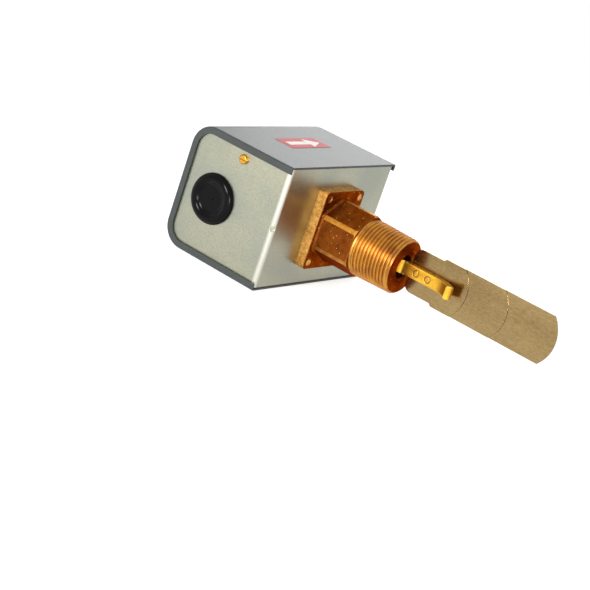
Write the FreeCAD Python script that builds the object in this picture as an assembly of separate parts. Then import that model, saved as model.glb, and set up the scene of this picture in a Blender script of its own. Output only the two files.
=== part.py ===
import FreeCAD, Part
import math
import os

from FreeCAD import Vector

# Paddle flow switch, standing as it is installed: thread down, cover up.
# The origin is on the thread axis at the lower face of the hexagon, +Z points up,
# the water flows along +X and the front of the cover faces -Y.  All sizes are in millimetres.

# ---- driving dimensions: pipe body -------------------------------------------------------
thread_radius = 16.6            # mean outside radius of a one inch taper pipe thread
thread_length = 26.3
thread_chamfer = 1.4
hex_thread_land = 0.1           # the hexagon's flats stand this far outside the thread
hex_height = 23.4
hex_edge_bevel = 1.6
hex_turned_land = 1.2           # from a flat out to the turned chamfer of the corners
flange_side_land = 2.15         # from the hexagon's flats to the flange's sides, along X
flange_depth = 46.6             # along Y
flange_thickness = 6.2
flange_corner = 3.0
flange_edge = 0.5
flange_fillet = 1.5
bore_radius = 7.0
bore_chamfer = 0.6
chamber_radius = 10.6           # room for the bellows
chamber_floor = 4.0
seal_recess_radius = 13.2
seal_recess_depth = 2.1

# ---- driving dimensions: enclosure -------------------------------------------------------
box_length = 104.4
box_depth = 72.4
box_height = 68.2
cover_sheet = 1.0
cover_corner = 13.0
cover_lip = 4.0
cover_edge = 1.2                # outside radius of the bend from each wall into its lip
cover_overhang = 0.4            # how far the cover hangs below the base's underside
base_sheet = 1.5
base_bend = 1.0                 # inside radius of the folds
sheet_gap = 0.3                 # clearance between the cover and the base
dart_radius = 1.5
dart_depth = 0.8
flange_screw_inset_x = 3.85     # from the flange's edges
flange_screw_inset_y = 4.0
flange_screw_radius = 2.0
flange_screw_head = 3.5
flange_screw_head_height = 2.2
flange_screw_recess = 0.3
hole_clearance = 0.2            # radial clearance of through holes round their screws
thread_clearance = 0.02         # radial clearance of tapped holes and tight seats
running_clearance = 0.05        # radial clearance of turning and sliding fits
side_play = 0.3                 # clearance beside moving parts
screw_end_room = 1.0            # free depth under the tip of a screw in a blind hole

# ---- driving dimensions: screw heads -----------------------------------------------------
head_rim_share = 0.45           # straight part of a pan head, as a share of its height
recess_reach_share = 0.55       # half length of the cross recess, as a share of the radius
recess_width_share = 0.13       # half width of the cross recess, as a share of the radius
recess_depth_share = 0.5        # depth of the cross recess, as a share of the height

# ---- driving dimensions: conduit opening and earth screw ---------------------------------
conduit_radius = 11.1
conduit_y = 1.0
conduit_drop = 24.5             # below the top of the box
plug_rim_radius = 14.5
plug_crest_radius = 11.2
plug_crest_height = 3.2
plug_edge_height = 0.7
plug_dish_radius = 6.6
plug_dish_height = 1.4
plug_dot_radius = 0.8
plug_dot_height = 0.4
plug_barrel_wall = 1.3
plug_barrel_length = 5.0
plug_bead = 0.5
earth_inset = 4.6               # from the cover's lip
earth_height = 31.9             # above the base's underside
earth_radius = 1.75
earth_head_radius = 2.75
earth_head_height = 2.0
earth_slot_width = 0.88
earth_length = 8.0
earth_nut_flats = 7.0
earth_nut_height = 2.4

# ---- driving dimensions: arm, paddles and pivot ------------------------------------------
rod_radius = 3.9
bar_front = -0.3                # x of the bar's flat front face
bar_thickness = 4.5
bar_width = 7.5
bar_edge = 1.0
bar_nose = 1.0                  # how far the bar's curled end bulges
bar_start = 0.9                 # how far below the thread's end the bar begins
shoulder_rise = 2.6             # how far above the thread's end the milled flat ends
shoulder_radius = 2.6
bar_bend_start = 20.1           # below the thread's end
bar_bend_radius = 14.0
bar_bend_angle = 45.0
paddle_thickness = 0.5
paddle_top = 1.7                # below the thread's end
paddle_neck = 12.75             # half widths
paddle_half_width = 14.1
paddle_top_corner = 4.5
paddle_step = 19.4              # below the thread's end
paddle_step_length = 1.4
paddle_end_radius = 20.5
paddle_lengths = {"short": 38.9, "medium": 64.7, "long": 95.9}
paddle_screw_drops = (8.1, 15.9)
paddle_screw_radius = 2.0
paddle_screw_tip = 0.5          # chamfer of the tips
paddle_screw_head = 3.6
paddle_screw_head_height = 2.2
lock_washer_radius = 3.7
lock_washer_height = 0.8
pivot_height = 6.4              # above the base's underside
pivot_radius = 1.5
pivot_head_radius = 2.6
pivot_head_height = 1.2
pivot_ring_radius = 3.2
pivot_ring_thickness = 0.7
pivot_tail = 0.8
hub_half_length = 4.5
hub_rise = 3.1                  # the hub reaches this far above and below the pivot

# ---- driving dimensions: bellows ---------------------------------------------------------
bellows_wall = 0.4
bellows_root = 6.3
bellows_crest = 9.4
bellows_pitch = 3.4
bellows_folds = 5
bellows_mouth = 5.5
bellows_flange_thickness = 0.5
bellows_flange_radius = 13.0
seal_inner_radius = 9.0
base_hole_radius = 8.0

# ---- driving dimensions: frame, range adjustment and lever -------------------------------
frame_sheet = 1.5
frame_screw_land = 4.0          # from the flange screws to the frame's edges
frame_end_gap = 3.4             # from the frame's upright to the end plate
frame_corner_cut = 4.4
frame_window_left = -11.0
frame_window_land = 10.0        # from the window to the upright's outer face
ear_inner = 10.5                # half distance between the ears
ear_left = -8.0
ear_land = 7.0                  # from the range screw to the ears' right edge
ear_height = 38.9               # above the frame's underside
upright_half_depth = 18.0
upright_height = 45.0
bridge_drop = 10.0
bridge_screw_x = 4.5
bridge_screw_tip_gap = 0.1      # the screws end this far short of the ears' inner faces
bridge_screw_drop = 6.0
bridge_screw_radius = 1.4
bridge_screw_head = 2.6
bridge_screw_head_height = 1.6
lever_sheet = 2.0
lever_left = -7.0
lever_tip_land = 5.0            # from the plunger to the lever's tip
lever_tip_corner = 3.2
lever_root_half = 6.0
lever_tip_half = 4.0
lever_taper_start = 14.0
lever_screw_y = 3.6
lever_screw_radius = 1.0
lever_screw_head = 1.8
lever_screw_head_height = 1.4
lever_screw_depth = 1.1
range_pitch = 13.0              # from the cover post to the range screw
range_radius = 2.5
range_head_radius = 4.0
range_head_height = 2.6
range_slot_width = 1.0
range_slot_depth = 1.3
range_reach = 25.0              # how far the range screw reaches below the bridge
range_clip_radius = 4.2
range_clip_height = 1.2
range_nut_half_length = 5.0
range_nut_height = 4.0
range_nut_drop = 8.0            # top of the nut below the bridge, at mid adjustment
spring_wire = 0.9
spring_coils = 6.0
spring_mean_radius = 4.2
spring_steps_per_coil = 14
spring_wire_sides = 8
ground_x = -15.0
ground_radius = 1.7
ground_head_flats = 7.0
ground_head_height = 2.6
ground_washer_radius = 3.9
ground_washer_height = 0.8

# ---- driving dimensions: snap switch -----------------------------------------------------
switch_ear_gap = 3.0
switch_half_depth = 19.0
switch_height = 26.0
switch_clearance = 18.9         # underside of the switch above the frame's underside
switch_edge = 1.2
terminal_pitch = 12.5
terminal_inset = 11.0           # from the switch's left face
terminal_length = 13.0
terminal_half_width = 4.6
terminal_sheet = 1.0
terminal_screw_radius = 1.75
terminal_screw_head = 3.4
terminal_screw_head_height = 2.2
terminal_screw_depth = 8.0
barrier_thickness = 1.5
barrier_height = 5.0
plunger_inset = 12.0            # from the switch's left face
plunger_radius = 2.0
plunger_tip_round = 0.8
plunger_length = 14.5
plunger_gap = 0.3
plunger_room = 2.5
switch_screw_y = 12.0
switch_screw_radius = 1.5
switch_screw_head = 2.8
switch_screw_head_height = 2.0
switch_screw_length = 7.0

# ---- driving dimensions: cover fastening and label ---------------------------------------
post_inset = 5.0                # from the ears' left edge
post_flats = 8.0
cover_screw_radius = 1.9
cover_screw_head = 4.0
cover_screw_head_height = 2.4
cover_screw_length = 9.0
post_hole_depth = 12.0
label_left = -17.0
label_right = 20.5
label_bottom = 26.0             # above the base's underside
label_height = 13.5
label_thickness = 0.15

# ---- working allowances ------------------------------------------------------------------
over = 1.0                      # cutters reach this far past the stock
weld = 0.01                     # shapes that become one reach this far into each other
touch = 0.001                   # coordinates this near count as equal

# ---- derived places ----------------------------------------------------------------------
hex_flats = 2 * (thread_radius + hex_thread_land)
hex_turned_radius = hex_flats / 2 + hex_turned_land
flange_length = hex_flats + 2 * flange_side_land
flange_screw_x = flange_length / 2 - flange_screw_inset_x
flange_screw_y = flange_depth / 2 - flange_screw_inset_y
thread_end = -thread_length
seat_z = hex_height + flange_thickness      # underside of the base
floor_z = seat_z + base_sheet               # inner face of the base's bottom
frame_top = floor_z + frame_sheet
box_top = seat_z + box_height
half_length = box_length / 2
half_depth = box_depth / 2
base_half_length = half_length - cover_sheet - sheet_gap
base_half_depth = half_depth - cover_sheet - sheet_gap
base_top = box_top - cover_sheet - sheet_gap
base_corner = cover_corner - cover_sheet - sheet_gap
conduit_z = box_top - conduit_drop
earth_y = -(half_depth - cover_lip - earth_inset)
earth_z = seat_z + earth_height
pivot_z = seat_z + pivot_height
hub_top = pivot_z + hub_rise
hub_bottom = pivot_z - hub_rise
lever_top = hub_top + lever_sheet
frame_left = -flange_screw_x - frame_screw_land
frame_right = base_half_length - base_sheet - frame_end_gap
frame_half_depth = flange_screw_y + frame_screw_land
frame_window_right = frame_right - frame_window_land
post_x = ear_left + post_inset
range_x = post_x + range_pitch
ear_right = range_x + ear_land
ear_outer = ear_inner + frame_sheet
ear_top = floor_z + ear_height
bridge_top = ear_top + frame_sheet
bridge_outer = ear_outer + frame_sheet
bar_back = bar_front + bar_thickness
stack_back = bar_back + paddle_thickness * len(paddle_lengths)
switch_bottom = floor_z + switch_clearance
switch_top = switch_bottom + switch_height
switch_left = ear_right + switch_ear_gap
switch_right = frame_right - frame_sheet
switch_screw_z = switch_bottom + switch_height / 2
plunger_x = switch_left + plunger_inset
plunger_bottom = lever_top + plunger_gap
terminal_x = switch_left + terminal_inset
lever_right = plunger_x + lever_tip_land
nut_top = ear_top - range_nut_drop
nut_bottom = nut_top - range_nut_height
hub_half_depth = ear_inner - side_play
flange_screw_places = [
    (x, y)
    for x in (-flange_screw_x, flange_screw_x)
    for y in (-flange_screw_y, flange_screw_y)
]
terminal_places = [-terminal_pitch, 0.0, terminal_pitch]
terminal_row_half = terminal_pitch * len(terminal_places) / 2


# ---- small builders ----------------------------------------------------------------------
def block(x0, x1, y0, y1, z0, z1):
    """A box between two corners."""
    return Part.makeBox(x1 - x0, y1 - y0, z1 - z0, Vector(x0, y0, z0))


def rod(radius, x, y, z0, z1):
    """An upright cylinder."""
    return Part.makeCylinder(radius, z1 - z0, Vector(x, y, z0), Vector(0, 0, 1))


def rod_along_x(radius, x0, x1, y, z):
    return Part.makeCylinder(radius, x1 - x0, Vector(x0, y, z), Vector(1, 0, 0))


def rod_along_y(radius, x, y0, y1, z):
    return Part.makeCylinder(radius, y1 - y0, Vector(x, y0, z), Vector(0, 1, 0))


def face_of(points):
    """A flat face inside a closed run of straight edges."""
    return Part.Face(Part.makePolygon(points + [points[0]]))


def turned(profile):
    """A solid of revolution about the Z axis from (radius, z) points."""
    outline = face_of([Vector(radius, 0, z) for radius, z in profile])
    return outline.revolve(Vector(0, 0, 0), Vector(0, 0, 1), 360)


def hexagon(flats, height, x=0.0, y=0.0, z=0.0):
    """A hexagonal prism whose flats face along X."""
    reach = flats / math.sqrt(3)
    corners = [math.radians(30 + 60 * step) for step in range(6)]
    points = [Vector(x + reach * math.cos(a), y + reach * math.sin(a), z) for a in corners]
    return face_of(points).extrude(Vector(0, 0, height))


def joined(shapes):
    """Several touching shapes as one solid."""
    first, *others = shapes
    return first.fuse(others).removeSplitter()


def edges_where(shape, test):
    return [edge for edge in shape.Edges if test(edge.BoundBox)]


def is_upright(box):
    return box.ZLength > touch and box.XLength < touch and box.YLength < touch


def is_level(box, z):
    return abs(box.ZMin - z) < touch and abs(box.ZMax - z) < touch


def pan_head(radius, height):
    """A pan head standing on z = 0: straight below, domed above, with a cross recess."""
    rim = height * head_rim_share
    dome = Part.makeCylinder(radius, height)
    top = edges_where(dome, lambda box: box.ZMin > height - touch)
    dome = dome.makeFillet(height - rim, top)
    arm = radius * recess_reach_share
    blade = radius * recess_width_share
    floor = height * (1 - recess_depth_share)
    for half_x, half_y in ((arm, blade), (blade, arm)):
        dome = dome.cut(block(-half_x, half_x, -half_y, half_y, floor, height + over))
    return dome


def screw(radius, head_radius, head_height, shank):
    """A pan head screw: the head stands on z = 0 and the shank hangs below it."""
    stem = rod(radius, 0, 0, -shank, weld)
    return pan_head(head_radius, head_height).fuse(stem).removeSplitter()


def level_arc(level, other):
    """An arc that leaves the first (radius, height) point level and ends at the other."""
    across = other[0] - level[0]
    rise = other[1] - level[1]
    radius = (across ** 2 + rise ** 2) / (2 * abs(rise))
    half = math.asin(abs(across) / radius) / 2
    middle = (
        level[0] + math.copysign(radius * math.sin(half), across),
        level[1] + math.copysign(radius * (1 - math.cos(half)), rise),
    )
    return Part.Arc(*[Vector(r, 0, h) for r, h in (level, middle, other)]).toShape()


def placed(shape, x, y, z, direction=Vector(0, 0, 1)):
    """A copy of a shape built about +Z, turned to a direction and set at a place."""
    copy = shape.copy()
    turn = FreeCAD.Rotation(Vector(0, 0, 1), direction)
    copy.Placement = FreeCAD.Placement(Vector(x, y, z), turn)
    return copy


def group(shapes):
    return Part.makeCompound(shapes)


def save(name, shape):
    shape.exportStep("parts/" + name + ".step")


# ---- pipe body and seal ------------------------------------------------------------------
def pipe_body():
    """Forged brass body: square flange, hexagon and threaded shank in one piece."""
    flange = block(
        -flange_length / 2, flange_length / 2,
        -flange_depth / 2, flange_depth / 2,
        hex_height, seat_z,
    )
    flange = flange.makeFillet(flange_corner, edges_where(flange, is_upright))
    lower_rim = edges_where(flange, lambda box: box.ZMax < hex_height + touch)
    flange = flange.makeFillet(flange_edge, lower_rim)

    nut = hexagon(hex_flats, hex_height)
    nut = nut.makeChamfer(hex_edge_bevel, edges_where(nut, is_upright))
    corner = hex_flats / math.sqrt(3)
    slope = corner - hex_turned_radius
    turned_blank = turned([
        (0, 0), (hex_turned_radius, 0), (corner, slope),
        (corner, hex_height), (0, hex_height),
    ])
    body = joined([flange, nut.common(turned_blank)])
    waist = edges_where(
        body,
        lambda box: is_level(box, hex_height)
        and max(box.XMax, -box.XMin) < hex_flats / 2 + touch,
    )
    body = body.makeFillet(flange_fillet, waist)

    shank = rod(thread_radius, 0, 0, thread_end, 0)
    tip = edges_where(shank, lambda box: box.ZMax < thread_end + touch)
    shank = shank.makeChamfer(thread_chamfer, tip)
    body = joined([body, shank])

    recess_floor = seat_z - seal_recess_depth
    bore = turned([
        (0, thread_end - over),
        (bore_radius + bore_chamfer, thread_end - over),
        (bore_radius + bore_chamfer, thread_end),
        (bore_radius, thread_end + bore_chamfer),
        (bore_radius, chamber_floor),
        (chamber_radius, chamber_floor + (chamber_radius - bore_radius)),
        (chamber_radius, recess_floor),
        (seal_recess_radius, recess_floor),
        (seal_recess_radius, seat_z + over),
        (0, seat_z + over),
    ])
    body = body.cut(bore)
    tapped = flange_screw_radius + thread_clearance
    for x, y in flange_screw_places:
        body = body.cut(rod(tapped, x, y, hex_height - over, seat_z + over))
    return body


def bellows():
    """Thin brass bellows round the arm, hanging from a flange in the body's recess."""
    top = seat_z - seal_recess_depth + bellows_flange_thickness
    start = seat_z - seal_recess_depth
    half_pitch = bellows_pitch / 2
    outer = []
    inner = []
    for fold in range(bellows_folds):
        z = start - fold * bellows_pitch
        outer.append((bellows_root + bellows_wall, z))
        outer.append((bellows_crest, z - half_pitch))
        inner.append((bellows_root, z))
        inner.append((bellows_crest - bellows_wall, z - half_pitch))
    foot = start - bellows_folds * bellows_pitch
    profile = [(bellows_root, top), (bellows_flange_radius, top), (bellows_flange_radius, start)]
    profile += outer
    profile += [
        (bellows_root + bellows_wall, foot),
        (bellows_mouth, foot),
        (bellows_mouth, foot + bellows_wall),
        (bellows_root, foot + bellows_wall),
    ]
    profile += [point for point in reversed(inner) if point[1] < start]
    return turned(profile)


def seal_ring():
    """Flat rubber ring pressed between the bellows flange and the base."""
    low = seat_z - seal_recess_depth + bellows_flange_thickness
    return turned([
        (seal_inner_radius, low), (bellows_flange_radius, low),
        (bellows_flange_radius, seat_z), (seal_inner_radius, seat_z),
    ])


def flange_screws():
    """Four screws that clamp frame, base and body together."""
    shank = frame_top - hex_height - flange_screw_recess
    one = screw(flange_screw_radius, flange_screw_head, flange_screw_head_height, shank)
    return group([placed(one, x, y, frame_top) for x, y in flange_screw_places])


# ---- enclosure ---------------------------------------------------------------------------
def arch_prism(half_width, bottom, top, corner, x0, x1):
    """A prism along X whose section is a rectangle with two rounded upper corners."""
    shape = block(x0, x1, -half_width, half_width, bottom, top)
    ridges = edges_where(
        shape,
        lambda box: box.ZMin > top - touch and box.XLength > touch,
    )
    return shape.makeFillet(corner, ridges)


def base_bracket():
    """Zinc-plated U bracket: bottom plate and two end plates folded from one sheet."""
    outer = block(
        -base_half_length, base_half_length,
        -base_half_depth, base_half_depth,
        seat_z, base_top + over,
    )
    inner = block(
        -base_half_length + base_sheet, base_half_length - base_sheet,
        -base_half_depth - over, base_half_depth + over,
        floor_z, base_top + 2 * over,
    )
    folds = edges_where(outer, lambda box: box.ZMax < seat_z + touch and box.YLength > touch)
    outer = outer.makeFillet(base_bend + base_sheet, folds)
    folds = edges_where(inner, lambda box: box.ZMax < floor_z + touch and box.YLength > touch)
    inner = inner.makeFillet(base_bend, folds)
    envelope = arch_prism(
        base_half_depth, seat_z - over, base_top, base_corner,
        -base_half_length - over, base_half_length + over,
    )
    bracket = outer.cut(inner).common(envelope)

    # A pressed dart stiffens each fold at mid depth.
    bend_outer = base_bend + base_sheet
    reach = bend_outer * (1 - math.sqrt(0.5))
    for side in (-1, 1):
        corner = Vector(side * (base_half_length - reach), 0, seat_z + reach)
        inward = Vector(-side, 0, 1).normalize()
        dent = Part.makeCylinder(dart_radius, over + dart_depth, corner - inward * over, inward)
        boss = Part.makeCylinder(
            dart_radius + base_sheet / 2, base_sheet + dart_depth, corner, inward,
        )
        bracket = joined([bracket, boss.common(outer)]).cut(dent)

    bracket = bracket.cut(rod(base_hole_radius, 0, 0, seat_z - over, floor_z + over))
    clear = flange_screw_radius + hole_clearance
    for x, y in flange_screw_places:
        bracket = bracket.cut(rod(clear, x, y, seat_z - over, floor_z + over))
    plate_out = -base_half_length - over
    plate_in = -base_half_length + base_sheet + over
    bracket = bracket.cut(rod_along_x(conduit_radius, plate_out, plate_in, conduit_y, conduit_z))
    earth_hole = earth_radius + hole_clearance
    return bracket.cut(rod_along_x(earth_hole, plate_out, plate_in, earth_y, earth_z))


def cover():
    """Painted steel cover: three walls in one bend, with a turned-in lip at both ends."""
    bottom = seat_z - cover_overhang
    outer = arch_prism(half_depth, bottom, box_top, cover_corner, -half_length, half_length)
    rims = edges_where(
        outer,
        lambda box: box.XLength < touch and box.ZMax > bottom + touch,
    )
    outer = outer.makeFillet(cover_edge, rims)
    hollow = arch_prism(
        half_depth - cover_sheet, bottom - over, box_top - cover_sheet,
        cover_corner - cover_sheet,
        -half_length + cover_sheet, half_length - cover_sheet,
    )
    window = arch_prism(
        half_depth - cover_lip, bottom - 2 * over, box_top - cover_lip,
        cover_corner - cover_lip,
        -half_length - over, half_length + over,
    )
    shell = outer.cut(hollow).cut(window)
    hole = rod(cover_screw_radius + hole_clearance, post_x, 0, base_top, box_top + over)
    return shell.cut(hole)


def flow_label():
    """Thin sticker on the front face that shows the way of the flow."""
    low = seat_z + label_bottom
    return block(
        label_left, label_right,
        -half_depth - label_thickness, -half_depth,
        low, low + label_height,
    )


def cover_screw():
    one = screw(
        cover_screw_radius, cover_screw_head, cover_screw_head_height, cover_screw_length,
    )
    return placed(one, post_x, 0, box_top)


def cover_post():
    """Hexagonal standoff on the bridge that takes the cover screw."""
    post = hexagon(post_flats, base_top - bridge_top, post_x, 0, bridge_top)
    hole = cover_screw_radius + side_play
    return post.cut(rod(hole, post_x, 0, base_top - post_hole_depth, base_top + over))


def conduit_plug():
    """Moulded plug that closes the conduit opening, with a raised round rim."""
    barrel = conduit_radius - hole_clearance
    bead_start = -base_sheet - plug_bead
    rim = (plug_rim_radius, plug_edge_height)
    crest = (plug_crest_radius, plug_crest_height)
    dish = (plug_dish_radius, plug_dish_height)
    slope = ((crest[0] + dish[0]) / 2, (crest[1] + dish[1]) / 2)
    edges = [level_arc(crest, rim), level_arc(crest, slope), level_arc(dish, slope)]
    run = [
        (plug_dish_radius, plug_dish_height),
        (plug_dot_radius, plug_dish_height),
        (plug_dot_radius, plug_dish_height + plug_dot_height),
        (0, plug_dish_height + plug_dot_height),
        (0, 0),
        (barrel - plug_barrel_wall, 0),
        (barrel - plug_barrel_wall, -plug_barrel_length),
        (barrel - plug_bead, -plug_barrel_length),
        (barrel + plug_bead, bead_start - plug_bead),
        (barrel, bead_start + plug_bead / 2),
        (barrel, 0),
        (plug_rim_radius, 0),
        (plug_rim_radius, plug_edge_height),
    ]
    points = [Vector(radius, 0, height) for radius, height in run]
    edges += [Part.makeLine(a, b) for a, b in zip(points, points[1:])]
    outline = Part.Face(Part.Wire(Part.__sortEdges__(edges)))
    plug = outline.revolve(Vector(0, 0, 0), Vector(0, 0, 1), 360)
    return placed(plug, -base_half_length, conduit_y, conduit_z, Vector(-1, 0, 0))


def earth_screw():
    """Slotted brass screw through the end plate, for an outside bonding wire."""
    head = Part.makeCylinder(earth_head_radius, earth_head_height)
    rim = edges_where(head, lambda box: box.ZMin > earth_head_height - touch)
    head = head.makeFillet(earth_head_height / 2, rim)
    slot_half = earth_slot_width / 2
    slot = block(
        -earth_head_radius - over, earth_head_radius + over,
        -slot_half, slot_half,
        earth_head_height / 2, earth_head_height + over,
    )
    shank = rod(earth_radius, 0, 0, -earth_length, weld)
    one = joined([head.cut(slot), shank])
    return placed(one, -base_half_length, earth_y, earth_z, Vector(-1, 0, 0))


def earth_nut():
    nut = hexagon(earth_nut_flats, earth_nut_height)
    nut = nut.cut(rod(earth_radius + thread_clearance, 0, 0, -over, earth_nut_height + over))
    return placed(nut, -base_half_length + base_sheet, earth_y, earth_z, Vector(1, 0, 0))


# ---- arm and paddles ---------------------------------------------------------------------
def paddle_arm():
    """Brass arm: cross hub on the pivot, round rod, and a flat bar whose end curls away."""
    hub = block(
        -hub_half_length, hub_half_length,
        -hub_half_depth, hub_half_depth,
        hub_bottom, hub_top,
    )
    stem = rod(rod_radius, 0, 0, thread_end - bar_start, hub_bottom + weld)

    # Milled flat on the front of the rod, with a round shoulder at its upper end.
    cutter_top = thread_end + shoulder_rise
    cutter = block(
        -rod_radius - over, bar_front, -rod_radius - over, rod_radius + over,
        thread_end - bar_start - over, cutter_top,
    )
    shoulder = edges_where(
        cutter,
        lambda box: box.XMin > bar_front - touch and box.ZMin > cutter_top - touch,
    )
    stem = stem.cut(cutter.makeFillet(shoulder_radius, shoulder))

    bar = flat_bar()
    arm = joined([hub, stem, bar])
    arm = arm.cut(rod_along_y(
        pivot_radius + running_clearance, 0, -hub_half_depth - over, hub_half_depth + over, pivot_z,
    ))
    for drop in paddle_screw_drops:
        z = thread_end - drop
        tapped = paddle_screw_radius + thread_clearance
        arm = arm.cut(rod_along_x(tapped, bar_front - over, bar_back + over, 0, z))
    for y in (-lever_screw_y, lever_screw_y):
        tapped = lever_screw_radius + thread_clearance
        arm = arm.cut(rod(tapped, 0, y, hub_top - lever_screw_depth, hub_top + over))
    return arm


def flat_bar():
    """The bar under the rod: straight beside the paddles, then curled towards -X."""
    top = thread_end - bar_start
    bend_z = thread_end - bar_bend_start
    centre_x = bar_front - bar_bend_radius
    back_radius = bar_bend_radius + bar_thickness

    def on_arc(radius, degrees):
        angle = math.radians(degrees)
        return Vector(
            centre_x + radius * math.cos(angle), 0, bend_z - radius * math.sin(angle),
        )

    half = bar_bend_angle / 2
    front_end = on_arc(bar_bend_radius, bar_bend_angle)
    back_end = on_arc(back_radius, bar_bend_angle)
    front_top = Vector(bar_front, 0, top)
    back_top = Vector(bar_back, 0, top)
    front_bend = Vector(bar_front, 0, bend_z)
    back_bend = Vector(bar_back, 0, bend_z)
    outward = FreeCAD.Rotation(Vector(0, 1, 0), bar_bend_angle).multVec(Vector(0, 0, -1))
    spare = outward * (bar_nose + over)
    front_arc = Part.Arc(front_bend, on_arc(bar_bend_radius, half), front_end)
    back_arc = Part.Arc(back_end, on_arc(back_radius, half), back_bend)
    outline = Part.Wire([
        Part.makeLine(front_top, front_bend),
        front_arc.toShape(),
        Part.makeLine(front_end, front_end + spare),
        Part.makeLine(front_end + spare, back_end + spare),
        Part.makeLine(back_end + spare, back_end),
        back_arc.toShape(),
        Part.makeLine(back_bend, back_top),
        Part.makeLine(back_top, front_top),
    ])
    bar = Part.Face(outline).extrude(Vector(0, bar_width, 0))
    bar.translate(Vector(0, -bar_width / 2, 0))
    long_edges = edges_where(
        bar,
        lambda box: box.YLength < touch and box.ZLength > bar_thickness,
    )
    bar = bar.makeFillet(bar_edge, long_edges)

    # The curled end is rounded off across its thickness.
    nose_radius = ((bar_thickness / 2) ** 2 + bar_nose ** 2) / (2 * bar_nose)
    trimmer = block(
        -bar_thickness, bar_thickness, -bar_width, bar_width, 0, bar_nose + 2 * over,
    )
    nose = rod_along_y(nose_radius, 0, -bar_width, bar_width, bar_nose - nose_radius)
    middle = (front_end + back_end) / 2
    trimmer = placed(trimmer.cut(nose), middle.x, middle.y, middle.z, outward)
    return bar.cut(trimmer).Solids[0]


def paddle(length, front_x):
    """One thin paddle: narrow neck under the thread, wide blade with a round end."""
    top = thread_end - paddle_top
    step = thread_end - paddle_step
    wide = step - paddle_step_length
    tip = thread_end - length
    sagitta = paddle_end_radius - math.sqrt(paddle_end_radius ** 2 - paddle_half_width ** 2)
    corner = tip + sagitta

    def at(y, z):
        return Vector(front_x, y, z)

    side_points = [(paddle_neck, top), (paddle_neck, step), (paddle_half_width, wide),
                   (paddle_half_width, corner)]
    right = [at(y, z) for y, z in side_points]
    left = [at(-y, z) for y, z in reversed(side_points)]
    edges = [Part.makeLine(a, b) for a, b in zip(right, right[1:])]
    edges.append(Part.Arc(right[-1], at(0, tip), left[0]).toShape())
    edges += [Part.makeLine(a, b) for a, b in zip(left, left[1:])]
    edges.append(Part.makeLine(left[-1], right[0]))
    blade = Part.Face(Part.Wire(edges)).extrude(Vector(paddle_thickness, 0, 0))
    top_corners = edges_where(
        blade,
        lambda box: box.ZMin > top - touch and box.YLength < touch and box.XLength > touch,
    )
    blade = blade.makeFillet(paddle_top_corner, top_corners)
    for drop in paddle_screw_drops:
        hole = paddle_screw_radius + hole_clearance
        blade = blade.cut(rod_along_x(
            hole, front_x - over, front_x + paddle_thickness + over, 0, thread_end - drop,
        ))
    return blade


def paddle_washers():
    """Lock washers under the heads of the paddle screws."""
    ring = turned([
        (paddle_screw_radius + hole_clearance, 0), (lock_washer_radius, 0),
        (lock_washer_radius, lock_washer_height),
        (paddle_screw_radius + hole_clearance, lock_washer_height),
    ])
    return group([
        placed(ring, stack_back, 0, thread_end - drop, Vector(1, 0, 0))
        for drop in paddle_screw_drops
    ])


def paddle_screws():
    """Two screws from behind the paddles, whose tips end flush with the bar's front."""
    head_x = stack_back + lock_washer_height
    shank = head_x - bar_front
    one = screw(paddle_screw_radius, paddle_screw_head, paddle_screw_head_height, shank)
    tip = edges_where(one, lambda box: box.ZMax < -shank + touch)
    one = one.makeChamfer(paddle_screw_tip, tip)
    return group([
        placed(one, head_x, 0, thread_end - drop, Vector(1, 0, 0))
        for drop in paddle_screw_drops
    ])


def pivot_pin():
    """Steel pin on which the arm swings, with a head on the front ear."""
    pin = rod_along_y(
        pivot_radius, 0, -ear_outer, ear_outer + pivot_ring_thickness + pivot_tail, pivot_z,
    )
    head = rod_along_y(pivot_head_radius, 0, -ear_outer - pivot_head_height, -ear_outer, pivot_z)
    return joined([pin, head])


def pivot_ring():
    """Retaining ring on the back end of the pivot pin."""
    ring = rod_along_y(pivot_ring_radius, 0, ear_outer, ear_outer + pivot_ring_thickness, pivot_z)
    bore = pivot_radius + thread_clearance
    back = ear_outer + pivot_ring_thickness
    return ring.cut(rod_along_y(bore, 0, ear_outer - over, back + over, pivot_z))


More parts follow.
